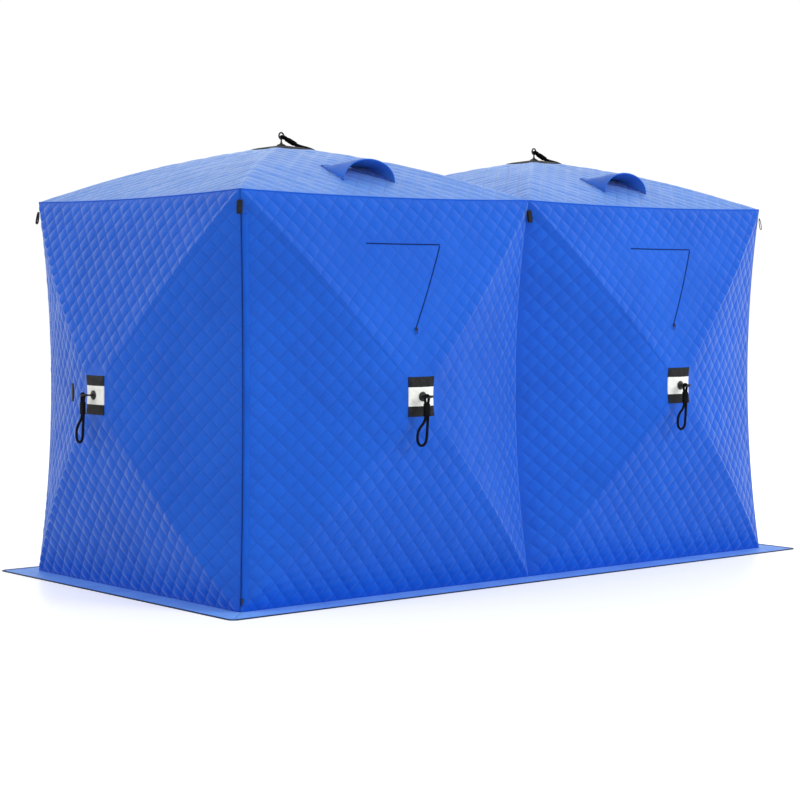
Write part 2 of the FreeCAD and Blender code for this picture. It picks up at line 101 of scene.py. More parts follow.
RING_HEIGHT = 0.051
RING_RADIUS = 0.016
WALL_RING_TILT = math.radians(80.0)
ROOF_RING_TURN = math.radians(8.0)
ROOF_PULL_DIP = math.radians(21.0)
ROPE_RADIUS = 0.0065
BRAID_TURNS = 380.0      # radians that the braid turns in one metre
SLEEVE_SPAN = (0.028, 0.086)
SLEEVE_SIZE = (0.0158, 0.0086)
PULL_ROUTE = [           # across the loop, and down from the ring's wire that it hangs on
    (-.0067, .060), (-.0066, .031), (-.0113, .010), (-.0113, -.0113), (.0113, -.0113), (.0113, .010),
    (.0066, .031), (.0067, .061), (.0069, .092), (.0045, .123), (.002, .153), (0, .180), (-.005, .204),
    (-.021, .218), (-.041, .218), (-.054, .202), (-.057, .178), (-.052, .153), (-.038, .133), (-.020, .117),
    (-.0068, .097), (-.0067, .069)]

SKIRT_WIDTH = 0.145
SKIRT_CORNER = 0.030
BINDING_WIDTH = 0.009

HOOD_MOUTH = (0.155, 0.106, -0.700)
HOOD_BACK = (0.131, 0.0035, -0.495)
ARCH_POWER = 0.92        # less than 1 makes a hood's arch fuller than a half ellipse

LOOP_DROP = 0.048
LOOP_LENGTH = 0.063
LOOP_WIDTH = 0.025
LOOP_DEPTH = 0.014
LOOP_STAND = 0.003
LOOP_LEAN = 0.15         # how far a loop's foot swings out, for its height

SEAM_RADIUS = 0.0032
ZIP_SEAM_RADIUS = 0.0022     # the corner seam beside the door's zip
WINDOW_ZIP_WIDTH = 0.0065
DOOR_ZIP_WIDTH = 0.0038
DOOR_FLAP_WIDTH = 0.024
DOOR_FLAP_SHIFT = 0.018
KEEPER_WIDTH = 0.034

WINDOW_TOP = ((-0.223, 0.714), (0.224, 0.714))
WINDOW_SIDE = ((0.224, 0.708), (-0.006, 0.314))
DOOR_ZIP = ((-0.8725, -0.905), (-0.8725, 0.825))
KEEPER = ((-0.294, -0.042), (-0.294, 0.044))

FACETS = {
    "left": ((-1, -1), (-1, 1)), "right": ((1, -1), (1, 1)),
    "lower": ((-1, -1), (1, -1)), "upper": ((-1, 1), (1, 1))}


# ---- panels

def edge_draw(middle):
    """How far the middle of a panel's edge is pulled from the straight line, from where that edge is."""
    if middle[2] < 0.001:
        return np.zeros(3)
    if abs(middle[2] - EAVE) < 0.001:
        return np.array([0, 0, -EAVE_SAG])
    side = math.copysign(1, middle[1])
    if abs(middle[0]) < 0.001:
        return np.array([0, -side * SEAM_DRAW, 0])
    return np.array([-math.copysign(CORNER_DRAW, middle[0]), -side * CORNER_DRAW, 0])


class Panel:
    """One wall or roof panel: its place, its size, and the shape of its cloth."""

    def __init__(self, name, centre, across, outward, half_height, bulge):
        self.name = name
        self.centre = np.array(centre, float)
        self.across = np.array(across, float)
        self.outward = np.array(outward, float)
        self.along = np.cross(self.outward, self.across)
        self.half = (HALF, half_height)
        self.bulge = bulge
        self.is_roof = outward[2] > 0.5
        self.hub = "hub_" + name
        self.node = ("cloth_" if self.is_roof else "wall_") + name
        self.axes = np.array([self.across, self.along, self.outward])

    def world(self, points):
        return self.centre + np.asarray(points, float) @ self.axes

    def draw(self, facet):
        (ax, ay), (bx, by) = FACETS[facet]
        flat_middle = (HALF * (ax + bx) / 2, self.half[1] * (ay + by) / 2, 0)
        return self.axes @ edge_draw(self.world(flat_middle))

    def ridge_height(self, t):
        return self.bulge * t + 4 * POLE_BOW * t * (1 - t)

    def cloth(self, facet, places):
        """The smooth outside of the cloth over places on the flat panel."""
        places = np.asarray(places, float)
        upright = facet in ("left", "right")
        across, up = (places[:, 1], places[:, 0]) if upright else (places[:, 0], places[:, 1])
        half_across, half_up = self.half[::-1] if upright else self.half
        t = 1 - np.abs(up) / half_up
        width = np.maximum(half_across * (1 - t), 1e-9)
        s = np.clip((across / width + 1) / 2, 0, 1)
        sag = np.outer(4 * s * (1 - s) * (1 - t), self.draw(facet))
        return np.column_stack([places, self.ridge_height(t)]) + sag

    def facet_of(self, x, y):
        """The facet that a place on the flat panel belongs to."""
        if abs(x) / self.half[0] > abs(y) / self.half[1]:
            return "left" if x < 0 else "right"
        return "lower" if y < 0 else "upper"

    def any_cloth(self, places):
        """As cloth, for places that may lie on several facets."""
        found = [self.cloth(self.facet_of(x, y), [(x, y)])[0] for x, y in places]
        return np.array(found)

    def bend(self, piece, way):
        """Bake a piece's place into its mesh; the bend's start and end along way, which goes from the hub to
        the fixed edge on the flat panel, are worked out but not used.
        """
        way = np.array([way[0], way[1], 0.0])
        start, end = self.world(way * (1 - BEND_START)), self.world(way * (1 - BEND_END))
        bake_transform(piece)

    def bend_facet(self, piece, facet):
        sides = {"left": (-self.half[0], 0), "right": (self.half[0], 0),
                 "lower": (0, -self.half[1]), "upper": (0, self.half[1])}
        self.bend(piece, sides[facet])


def make_panels():
    """The shelter's eight panels."""
    mid = EAVE / 2
    walls = {"front_left": ((-HALF, -HALF), (1, 0, 0), (0, -1, 0)),
             "front_right": ((HALF, -HALF), (1, 0, 0), (0, -1, 0)),
             "back_left": ((-HALF, HALF), (-1, 0, 0), (0, 1, 0)),
             "back_right": ((HALF, HALF), (-1, 0, 0), (0, 1, 0)),
             "end_left": ((-BAY, 0), (0, -1, 0), (-1, 0, 0)),
             "end_right": ((BAY, 0), (0, 1, 0), (1, 0, 0))}
    panels = [Panel(name, (*place, mid), along, out, mid, WALL_BULGE)
              for name, (place, along, out) in walls.items()]
    for name, x in (("roof_left", -HALF), ("roof_right", HALF)):
        panels.append(Panel(name, (x, 0, EAVE), (1, 0, 0), (0, 0, 1), HALF, ROOF_RISE))
    return panels


# ---- materials

class Shader:
    """A material under construction: a Principled shader and short ways to add nodes to it."""

    def __init__(self, name, roughness, **sockets):
        self.material = bpy.data.materials.new(name)
        self.material.use_nodes = True
        self.tree = self.material.node_tree
        self.principled = self.tree.nodes["Principled BSDF"]
        self.principled.inputs["Roughness"].default_value = roughness
        for socket, value in sockets.items():
            self.principled.inputs[socket.replace("_", " ")].default_value = value

    def add(self, kind, inputs, output=0, **settings):
        node = self.tree.nodes.new(kind)
        for name, value in settings.items():
            setattr(node, name, value)
        for key, value in inputs.items():
            if isinstance(value, bpy.types.NodeSocket):
                self.tree.links.new(value, node.inputs[key])
            else:
                node.inputs[key].default_value = value
        return node.outputs[output]

    def math(self, operation, a, b=0.0):
        return self.add("ShaderNodeMath", {0: a, 1: b}, operation=operation)

    def place(self, output="Object"):
        return self.add("ShaderNodeTexCoord", {}, output)

    def noise(self, vector, scale, detail=3.0):
        return self.add("ShaderNodeTexNoise", {"Vector": vector, "Scale": scale, "Detail": detail})

    def ramp(self, value, low, high, to_low=0.0, to_high=1.0):
        return self.add("ShaderNodeMapRange", {0: value, 1: low, 2: high, 3: to_low, 4: to_high},
                        interpolation_type="SMOOTHSTEP")

    def mix(self, factor, first, second):
        return self.add("ShaderNodeMix", {0: factor, 6: first, 7: second}, 2, data_type="RGBA")

    def colour(self, socket):
        self.tree.links.new(socket, self.principled.inputs["Base Color"])

    def roughness(self, socket):
        self.tree.links.new(socket, self.principled.inputs["Roughness"])

    def bump(self, height, distance, strength=1.0):
        normal = self.add("ShaderNodeBump", {"Height": height, "Distance": distance, "Strength": strength})
        self.tree.links.new(normal, self.principled.inputs["Normal"])


def weave(shader, vector, scale):
    """A plain weave: threads over and under each other, scale of them to one unit of the vector."""
    scaled = shader.add("ShaderNodeVectorMath", {0: vector, "Scale": scale}, operation="SCALE")
    apart = shader.tree.nodes.new("ShaderNodeSeparateXYZ")
    shader.tree.links.new(scaled, apart.inputs[0])
    waves = [shader.math("SINE", shader.math("MULTIPLY", apart.outputs[i], math.pi)) for i in (0, 1)]
    return shader.math("MULTIPLY", waves[0], waves[1])


def rgb(red, green, blue):
    return (red, green, blue, 1.0)


def quilted_cloth(name, deep, bright, sheen, tint):
    """Coated polyester, sewn through to its padding along the cells' edges, with painted shade along the
    seams. UV counts cells.
    """
    s = Shader(name, 0.42, Specular_IOR_Level=0.25, Sheen_Weight=sheen, Sheen_Roughness=0.3,
               Sheen_Tint=rgb(*tint))
    cells = s.place("UV")
    apart = s.tree.nodes.new("ShaderNodeSeparateXYZ")
    s.tree.links.new(cells, apart.inputs[0])
    across = [s.math("PINGPONG", apart.outputs[i], 0.5) for i in (0, 1)]
    to_seam = s.math("MINIMUM", across[0], across[1])
    # painted shade: seam is 1 on a seam line and 0 from 0.06 of a cell away, and darkens the cloth there as
    # the shade in the quilting's grooves
    seam = s.ramp(to_seam, 0.0, 0.06, 1.0, 0.0)
    along = s.math("MULTIPLY", s.math("ADD", apart.outputs[0], apart.outputs[1]), 13.0)
    dashes = s.ramp(s.math("PINGPONG", along, 0.5), 0.12, 0.2)
    thread = s.math("MULTIPLY", s.ramp(to_seam, 0.008, 0.014, 1.0, 0.0), dashes)
    patches = s.noise(s.place(), 2.6, 4.0)
    fine = s.noise(s.place(), 55.0, 2.0)
    tone = s.math("ADD", s.math("MULTIPLY", patches, 0.75), s.math("MULTIPLY", fine, 0.25))
    cloth = s.mix(s.ramp(tone, 0.35, 0.68), rgb(*deep), rgb(*bright))
    # painted shade along the seams: the cloth goes up to 30 percent of the way to a third of its deep tone
    seam_painted_shade = s.mix(s.math("MULTIPLY", seam, 0.30), cloth, rgb(*(0.35 * c for c in deep)))
    s.colour(s.mix(s.math("MULTIPLY", thread, 0.5), seam_painted_shade, rgb(*(1.15 * c for c in bright))))
    s.roughness(s.ramp(s.noise(s.place(), 9.0, 3.0), 0.3, 0.7, 0.34, 0.46))
    height = s.math("ADD", s.math("MULTIPLY", weave(s, cells, 46.0), 0.10),
                    s.math("ADD", s.math("MULTIPLY", s.noise(s.place(), 70.0, 4.0), 0.9),
                           s.math("MULTIPLY", thread, 0.5)))
    s.bump(height, 0.0012, 0.4)
    return s.material


def woven_cloth(name, deep, bright, roughness=0.5, threads=900.0, specular=0.3):
    """Plain woven polyester with soft creases."""
    s = Shader(name, roughness, Specular_IOR_Level=specular)
    tone = s.noise(s.place(), 7.0, 5.0)
    s.colour(s.mix(s.ramp(tone, 0.3, 0.7), rgb(*deep), rgb(*bright)))
    threads_high = s.math("MULTIPLY", weave(s, s.place(), threads), 0.18)
    height = s.math("ADD", threads_high, s.noise(s.place(), 38.0, 4.0))
    s.roughness(s.ramp(s.noise(s.place(), 21.0, 2.0), 0.3, 0.7, roughness - 0.06, roughness + 0.08))
    s.bump(height, 0.0009, 0.55)
    return s.material


def ribbed_webbing(name, deep, bright, ribs):
    """Flat webbing: ribs across its run, which UV's second number counts in metres."""
    s = Shader(name, 0.62, Specular_IOR_Level=0.25)
    apart = s.tree.nodes.new("ShaderNodeSeparateXYZ")
    s.tree.links.new(s.place("UV"), apart.inputs[0])
    rib = s.math("PINGPONG", s.math("MULTIPLY", apart.outputs[1], ribs), 0.5)
    wale = s.math("PINGPONG", s.math("MULTIPLY", apart.outputs[0], ribs * 1.7), 0.5)
    s.colour(s.mix(s.ramp(s.noise(s.place(), 60.0, 3.0), 0.3, 0.7), rgb(*deep), rgb(*bright)))
    s.bump(s.math("ADD", rib, s.math("MULTIPLY", wale, 0.5)), 0.0008, 0.8)
    return s.material


def moulded_plastic(name, deep, bright):
    """Black nylon with a fine moulded grain."""
    s = Shader(name, 0.4, Specular_IOR_Level=0.45)
    s.colour(s.mix(s.ramp(s.noise(s.place(), 90.0, 4.0), 0.35, 0.7), rgb(*deep), rgb(*bright)))
    s.roughness(s.ramp(s.noise(s.place(), 160.0, 2.0), 0.3, 0.7, 0.34, 0.52))
    s.bump(s.noise(s.place(), 1400.0, 2.0), 0.00015, 0.6)
    return s.material


def coated_steel(name, deep, bright):
    """Plated steel, a little worn."""
    s = Shader(name, 0.35, Metallic=0.85, Specular_IOR_Level=0.5)
    s.colour(s.mix(s.ramp(s.noise(s.place(), 120.0, 4.0), 0.35, 0.65), rgb(*deep), rgb(*bright)))
    s.roughness(s.ramp(s.noise(s.place(), 260.0, 3.0), 0.3, 0.7, 0.28, 0.5))
    s.bump(s.noise(s.place(), 900.0, 2.0), 0.0001, 0.5)
    return s.material


def fibreglass(name):
    """Pultruded rod: fine streaks along a glossy resin skin."""
    s = Shader(name, 0.25, Coat_Weight=0.35, Coat_Roughness=0.15)
    stretched = s.add("ShaderNodeMapping", {"Vector": s.place("UV"), "Scale": (60.0, 2.0, 1.0)})
    streaks = s.noise(stretched, 3.0, 3.0)
    s.colour(s.mix(s.ramp(streaks, 0.3, 0.7), rgb(0.012, 0.012, 0.013), rgb(0.035, 0.035, 0.036)))
    s.bump(streaks, 0.0001, 0.6)
    return s.material


def zip_tape(name):
    """Zip tape with its coil down the middle. UV's first number goes across from 0 to 1."""
    s = Shader(name, 0.55, Specular_IOR_Level=0.12)
    apart = s.tree.nodes.new("ShaderNodeSeparateXYZ")
    s.tree.links.new(s.place("UV"), apart.inputs[0])
    middle = s.ramp(s.math("ABSOLUTE", s.math("SUBTRACT", apart.outputs[0], 0.5)), 0.2, 0.3, 1.0, 0.0)
    teeth = s.math("PINGPONG", s.math("MULTIPLY", apart.outputs[1], 420.0), 0.5)
    s.colour(s.mix(middle, rgb(0.003, 0.035, 0.24), rgb(0.002, 0.016, 0.11)))
    s.bump(s.math("MULTIPLY", teeth, middle), 0.0012, 1.0)
    return s.material


# ---- mesh helpers

def new_mesh(name, points, faces, materials, uv=None, face_materials=None, smooth=True):
    """A mesh object from points, faces, and for each point its UV place."""
    mesh = bpy.data.meshes.new(name)
    mesh.from_pydata([tuple(p) for p in points], [], [tuple(f) for f in faces])
    for item in materials:
        mesh.materials.append(item)
    if face_materials is not None:
        mesh.polygons.foreach_set("material_index", face_materials)
    if uv is not None:
        corners = np.empty(len(mesh.loops), dtype=int)
        mesh.loops.foreach_get("vertex_index", corners)
        layer = mesh.uv_layers.new(name="UVMap")
        layer.data.foreach_set("uv", np.asarray(uv, float)[corners].ravel())
    mesh.polygons.foreach_set("use_smooth", [smooth] * len(mesh.polygons))
    mesh.update()
    piece = bpy.data.objects.new(name, mesh)
    bpy.context.collection.objects.link(piece)
    return piece


def grid_faces(rows, columns, closed=False):
    """Quads of a grid whose points run along its columns first. closed joins the last column to the first."""
    faces = []
    for i in range(rows - 1):
        for j in range(columns if closed else columns - 1):
            k = (j + 1) % columns
            faces.append((i * columns + j, i * columns + k, (i + 1) * columns + k, (i + 1) * columns + j))
    return faces


def with_modifiers(piece, **kinds):
    """Apply modifiers, each given as KIND=settings, and keep the result as the piece's mesh."""
    for kind, settings in kinds.items():
        modifier = piece.modifiers.new(kind, kind)
        for name, value in settings.items():
            setattr(modifier, name, value)
    bpy.context.view_layer.update()
    seen = piece.evaluated_get(bpy.context.evaluated_depsgraph_get())
    mesh = bpy.data.meshes.new_from_object(seen)
    piece.modifiers.clear()
    piece.data = mesh
    return piece


def sides_along(points):
    """Two cross directions at each point of a line, turning as little as possible."""
    points = np.asarray(points, float)
    tangents = np.gradient(points, axis=0)
    tangents /= np.linalg.norm(tangents, axis=1)[:, None]
    helper = np.eye(3)[np.argmin(np.abs(tangents[0]))]
    first = np.cross(tangents[0], helper)
    sides = []
    for tangent in tangents:
        first = first - tangent * (first @ tangent)
        first = first / np.linalg.norm(first)
        sides.append((first, np.cross(tangent, first)))
    return sides


def capped_tube(rings, around):
    """The faces of a tube of rings of points, with both ends closed."""
    faces = grid_faces(rings, around, closed=True)
    faces.append(tuple(range(around))[::-1])
    faces.append(tuple((rings - 1) * around + i for i in range(around)))
    return faces


def run_along(line):
    """How far along a line each of its points lies."""
    return np.concatenate([[0], np.cumsum(np.linalg.norm(np.diff(line, axis=0), axis=1))])


def swept(points, radii, around, name, materials, face_materials=None):
    """A round tube along points, with a radius at each point, closed at both ends."""
    sides = sides_along(points)
    angles = np.linspace(0, 2 * math.pi, around, endpoint=False)
    rings = [p + r * (np.outer(np.cos(angles), a) + np.outer(np.sin(angles), b))
             for p, r, (a, b) in zip(points, radii, sides)]
    faces = capped_tube(len(points), around)
    uv = [(j / around, v) for v in run_along(points) for j in range(around)]
    return new_mesh(name, np.concatenate(rings), faces, materials, uv, face_materials)


# ---- cloth panels

def lattice_facets(half, lines_in_cell):
    """The four triangles of a flat panel, cut from a grid that runs along the quilting's seams."""
    reach = math.ceil((half[0] + half[1]) / math.sqrt(2) / CELL) + 1
    numbers = CELL * np.add.outer(np.arange(-reach, reach), lines_in_cell).ravel()
    p, q = np.meshgrid(numbers, numbers, indexing="ij")
    x, y = (p + q) / math.sqrt(2), (p - q) / math.sqrt(2)
    count = len(numbers)
    facets = {}
    for facet, corners in FACETS.items():
        ends = [Vector((cx * half[0], cy * half[1], 0)) for cx, cy in corners]
        middle = (ends[0] + ends[1]) / 2
        lines = [(Vector((0, 0, 0)), Vector((-e.y, e.x, 0)).normalized()) for e in ends]
        lines = [(at, n if n.dot(middle) < 0 else -n) for at, n in lines]
        lines.append((ends[0], middle.normalized()))
        keep = np.ones(x.shape, bool)
        for at, n in lines:
            keep &= (x - at.x) * n.x + (y - at.y) * n.y < 1.5 * CELL
        cells = keep[:-1, :-1] & keep[1:, :-1] & keep[:-1, 1:] & keep[1:, 1:]
        rows, columns = np.nonzero(cells)
        first = rows * count + columns
        quads = np.column_stack([first, first + 1, first + count + 1, first + count])
        used, quads = np.unique(quads, return_inverse=True)
        quads = quads.reshape(-1, 4)
        mesh = bpy.data.meshes.new("flat")
        mesh.from_pydata([(a, b, 0) for a, b in zip(x.ravel()[used], y.ravel()[used])], [], quads.tolist())
        work = bmesh.new()
        work.from_mesh(mesh)
        bpy.data.meshes.remove(mesh)
        for at, n in lines:
            everything = work.verts[:] + work.edges[:] + work.faces[:]
            bmesh.ops.bisect_plane(work, geom=everything, dist=1e-7, plane_co=at, plane_no=n,
                                   clear_outer=True)
        work.verts.index_update()
        places = np.array([v.co[:2] for v in work.verts])
        faces = [[v.index for v in f.verts] for f in work.faces]
        work.free()
        facets[facet] = (places, faces)
    return facets


def near_line(places, ends, flat, reach):
    """0 up to flat away from a line between two places, rising to 1 where it is reach further away."""
    start, end = np.array(ends[0]), np.array(ends[1])
    way = end - start
    part = np.clip((places - start) @ way / (way @ way), 0, 1)
    away = np.linalg.norm(places - start - np.outer(part, way), axis=1)
    return np.clip((away - flat) / reach, 0, 1)


def quilting(panel, places):
    """Height of the padded cells above the smooth cloth, from places on the flat panel."""
    x, y = places[:, 0], places[:, 1]
    p, q = (x + y) / math.sqrt(2) / CELL, (x - y) / math.sqrt(2) / CELL
    crown = np.abs(np.sin(math.pi * p) * np.sin(math.pi * q)) ** PUFF_POWER
    cell = np.sin(np.floor(p) * 12.9898 + np.floor(q) * 78.233 + len(panel.name)) * 43758.5453
    crown *= 0.8 + 0.4 * (cell - np.floor(cell))
    inset = np.minimum(panel.half[0] - np.abs(x), panel.half[1] - np.abs(y))
    edge = np.clip(inset / EDGE_FADE, 0, 1)
    near_hub = np.clip((np.hypot(x, y) - HUB_FLAT) / HUB_FADE, 0.12, 1)
    ripple = np.sin(x * 23 + 2.1 * np.sin(y * 9)) * np.sin(y * 17 + 1.7 * np.sin(x * 11))
    soft_edge = np.clip(inset / 0.12, 0, 1)
    tall = PUFF * (ROOF_PUFF if panel.is_roof else 1)
    height = tall * crown * edge * near_hub + RIPPLE * ripple * soft_edge * near_hub
    pressed = []
    if panel.name in ("front_left", "front_right"):
        on_flap = np.clip((y / panel.half[1] - np.abs(x) / panel.half[0]) / 0.25, 0, 1)
        on_flap *= np.clip(inset / 0.25, 0, 1)
        height *= 1 - (1 - FLAP_PUFF) * on_flap
        pressed += [(WINDOW_TOP, ZIP_FLAT), (WINDOW_SIDE, ZIP_FLAT)]
    if panel.name == "front_left":
        pressed.append((DOOR_ZIP, DOOR_FLAT))
    if panel.name == "end_left":
        pressed.append((KEEPER, KEEPER_FLAT))
    for ends, flat in pressed:
        height *= near_line(places, ends, flat, FLAT_FADE)
    return height


def facet_uv(places):
    """Places counted in cells along the two ways that the seams run."""
    return np.column_stack([places.sum(axis=1), places[:, 0] - places[:, 1]]) / math.sqrt(2) / CELL


def facing_out(points, faces, outward=True):
    """Faces turned so that they look out of (or into) the shelter."""
    i, j, k = faces[len(faces) // 2][:3]
    normal = np.cross(points[j] - points[i], points[k] - points[i])
    if (normal[2] > 0) != outward:
        faces = [face[::-1] for face in faces]
    return faces


def make_cloth(panel, quilted, plain, outside, inside):
    """The four quilted facets of a panel, and the plain lining inside each."""
    for facet in FACETS:
        layers = (("quilt", quilted[facet], outside), ("lining", plain[facet], inside))
        for layer, (places, faces), material in layers:
            is_quilt = layer == "quilt"
            points = panel.cloth(facet, places)
            points[:, 2] += quilting(panel, places) if is_quilt else -CLOTH
            faces = facing_out(points, faces, outward=is_quilt)
            name = f"{layer}_{panel.name}_{facet}"
            piece = new_mesh(name, panel.world(points), faces, [material], facet_uv(places))
            panel.bend_facet(piece, facet)
            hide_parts(panel.node)


def edge_line(panel, facet, count=60):
    """The curved line of a panel's outer edge."""
    (ax, ay), (bx, by) = FACETS[facet]
    s = np.linspace(0, 1, count)[:, None]
    start, end = np.array([ax, ay]) * panel.half, np.array([bx, by]) * panel.half
    return panel.world(panel.cloth(facet, start * (1 - s) + end * s))


def make_seams(panels, cloth, dark):
    """Corded seams along the eaves, the valley and the standing corners; the one beside the door's zip is
    painted navy as painted shade along that corner.
    """
    by_name = {panel.name: panel for panel in panels}
    chosen = [("front_left", "left"), ("front_left", "right"), ("front_right", "right"),
              ("back_left", "left"), ("back_left", "right"), ("back_right", "left")]
    chosen += [("roof_left", side) for side in FACETS]
    chosen += [("roof_right", side) for side in ("right", "lower", "upper")]
    for name, facet in chosen:
        panel = by_name[name]
        line = edge_line(panel, facet)
        # painted shade: the seam beside the door's zip takes the dark navy material
        beside_zip = (name, facet) == ("front_left", "left")
        radii = [ZIP_SEAM_RADIUS if beside_zip else SEAM_RADIUS] * len(line)
        piece = swept(line, radii, 8, f"seam_{name}_{facet}", [dark if beside_zip else cloth])
        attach(piece, "tent")


# ---- trim on the cloth

def cloth_strip(panel, name, facet, ends, width, profile, materials, steps=40):
    """A strip that lies on a facet between two places. profile lists (part of the width, height)."""
    start, end = np.array(ends[0]), np.array(ends[1])
    way = (end - start) / np.linalg.norm(end - start)
    side = np.array([-way[1], way[0]]) * width
    points, uv = [], []
    for i in np.linspace(0, 1, steps):
        middle = start * (1 - i) + end * i
        places = [middle + side * (j - 0.5) for j, _ in profile]
        row = panel.cloth(facet, places)
        row[:, 2] += [height for _, height in profile]
        points.extend(row)
        uv.extend((j, i * np.linalg.norm(end - start)) for j, _ in profile)
    faces = facing_out(np.array(points), grid_faces(steps, len(profile)))
    return new_mesh(name, panel.world(points), faces, materials, uv)


ZIP_PROFILE = [(0.0, 0.0002), (0.04, 0.0012), (0.28, 0.0015), (0.34, 0.0026), (0.5, 0.0030),
               (0.66, 0.0026), (0.72, 0.0015), (0.96, 0.0012), (1.0, 0.0002)]
FLAT_PROFILE = [(0.0, 0.001), (0.03, 0.0036), (0.5, 0.0040), (0.97, 0.0036), (1.0, 0.001)]
STRIP_PROFILE = [(0.0, 0.0005), (0.03, 0.0024), (0.12, 0.0028), (0.16, 0.0020), (0.2, 0.0028), (0.5, 0.0034),
                 (0.8, 0.0028), (0.84, 0.0020), (0.88, 0.0028), (0.97, 0.0024), (1.0, 0.0005)]


def make_slider(panel, name, facet, place, materials):
    """A zip slider with its pull tab hanging from it."""
    base = panel.cloth(facet, [place])[0]
    parts = [((0, 0, 0.0105), (0.0050, 0.0075, 0.0022)), ((0, -0.004, 0.0135), (0.0022, 0.0035, 0.0012)),
             ((0, -0.014, 0.0120), (0.0030, 0.0080, 0.0008))]
    points, faces = [], []
    for middle, half in parts:
        first = len(points)
        for z in (-1, 1):
            for x, y in ((-1, -1), (1, -1), (1, 1), (-1, 1)):
                points.append(base + np.array(middle) + np.array(half) * (x, y, z))
        box = ((3, 2, 1, 0), (4, 5, 6, 7), (0, 1, 5, 4), (1, 2, 6, 5), (2, 3, 7, 6), (3, 0, 4, 7))
        faces += [tuple(first + i for i in face) for face in box]
    piece = new_mesh(name, panel.world(points), faces, materials, smooth=False)
    with_modifiers(piece, BEVEL=dict(width=0.0007, segments=2))
    return piece


def make_window(panel, tape, steel):
    """The zips of the window's flap: along its top and down one side."""
    pieces = []
    for place, ends in (("top", WINDOW_TOP), ("side", WINDOW_SIDE)):
        name = f"window_zip_{place}_{panel.name}"
        pieces.append(cloth_strip(panel, name, "upper", ends, WINDOW_ZIP_WIDTH, ZIP_PROFILE, [tape]))
    pieces.append(make_slider(panel, f"window_slider_{panel.name}", "upper", WINDOW_SIDE[1], [steel]))
    for piece in pieces:
        panel.bend_facet(piece, "upper")
        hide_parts(panel.node)


def make_door(panel, tape, cloth, steel):
    """The door's zip down the corner, and the flap beside it."""
    beside = [(x + DOOR_FLAP_SHIFT, y) for x, y in DOOR_ZIP]
    pieces = [
        cloth_strip(panel, "door_zip", "left", DOOR_ZIP, DOOR_ZIP_WIDTH, ZIP_PROFILE, [tape], 90),
        cloth_strip(panel, "door_zip_flap", "left", beside, DOOR_FLAP_WIDTH, STRIP_PROFILE, [cloth], 90),
        make_slider(panel, "door_slider", "left", (DOOR_ZIP[0][0], DOOR_ZIP[0][1] + 0.03), [steel])]
    for piece in pieces:
        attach(piece, "tent")
        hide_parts(panel.node)


def make_keeper(panel, webbing):
    """The short upright bar of webbing near the hub of the left end."""
    piece = cloth_strip(panel, "webbing_keeper", "left", KEEPER, KEEPER_WIDTH, FLAT_PROFILE, [webbing], 12)
    panel.bend_facet(piece, "left")
    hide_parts(panel.node)


# ---- hubs

def make_patch(panel, black, white):
    """The patch over a hub: black, white and black bands on a wall, and black on a roof."""
    half = ROOF_PATCH if panel.is_roof else WALL_PATCH
    columns, rows = 33, 47
    xs, ys = np.linspace(-1, 1, columns), np.linspace(-1, 1, rows)
    places = [(half[0] * x, half[1] * y) for y in ys for x in xs]
    points = panel.any_cloth(places)
    edge = np.array([min(1 - abs(x), 1 - abs(y)) for y in ys for x in xs])
    lift = PATCH_LIFT + 0.0028 * np.clip(edge / 0.12, 0, 1) ** 0.5
    stitch_line = 0.0009 * np.exp(-((edge - 0.12) / 0.03) ** 2)
    points[:, 2] += lift - stitch_line
    centre = np.hypot(*np.array(places).T)
    points[:, 2] = np.minimum(points[:, 2], panel.bulge + 0.0030 - 0.02 * np.minimum(centre, 0.03))
    faces = facing_out(points, grid_faces(rows, columns))
    middles = [np.mean([points[i][1] for i in face]) for face in faces]
    bands = [0 if panel.is_roof or abs(m) > WALL_BAND else 1 for m in middles]
    uv = [(x * half[0], y * half[1]) for x, y in places]
    piece = new_mesh(f"patch_{panel.name}", panel.world(points), faces, [black, white], uv, bands)
    with_modifiers(piece, SOLIDIFY=dict(thickness=0.0014, offset=-1.0))
    panel.bend_facet(piece, "upper")
    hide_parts(panel.node)


def loose_parts(mesh):
    """The mesh's separate solids, as lists of faces, from a welded copy."""
    work = bmesh.new()
    work.from_mesh(mesh)
    bmesh.ops.remove_doubles(work, verts=work.verts[:], dist=1e-6)
    work.faces.ensure_lookup_table()
    seen, parts = set(), []
    for face in work.faces:
        if face.index in seen:
            continue
        stack, found = [face], []
        seen.add(face.index)
        while stack:
            current = stack.pop()
            found.append(current)
            for vert in current.verts:
                for other in vert.link_faces:
                    if other.index not in seen:
                        seen.add(other.index)
                        stack.append(other)
        parts.append(found)
    return work, parts


def make_hardware(panel, plastic, steel):
    """The hub's block, pins, eye bolt, washers and nuts, each with worn edges, from their CAD solids."""
    work, parts = loose_parts(bpy.data.objects[panel.hub].data)
    inverse = np.linalg.inv(panel.axes)
    points, faces, kinds = [], [], []
    for found in parts:
        verts = list({v for face in found for v in face.verts})
        local = (np.array([v.co[:] for v in verts]) - panel.centre) @ inverse
        size = local.max(axis=0) - local.min(axis=0)
        index = {v: len(points) + i for i, v in enumerate(verts)}
        points.extend(v.co[:] for v in verts)
        is_thin = 0.02 < max(size[0], size[1]) < 0.045 and size[2] < 0.0055
        is_pin = is_thin and local[:, 2].max() < panel.bulge - 0.02
        for face in found:
            faces.append([index[v] for v in face.verts])
            kinds.append(1 if is_pin else 0)
    work.free()
    piece = new_mesh(f"hardware_{panel.name}", points, faces, [plastic, steel], None, kinds, smooth=True)
    with_modifiers(piece, BEVEL=dict(width=0.0006, segments=2, limit_method="ANGLE", angle_limit=0.6),
                   WEIGHTED_NORMAL=dict(keep_sharp=True))
    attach(piece, panel.hub)
    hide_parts(panel.hub)


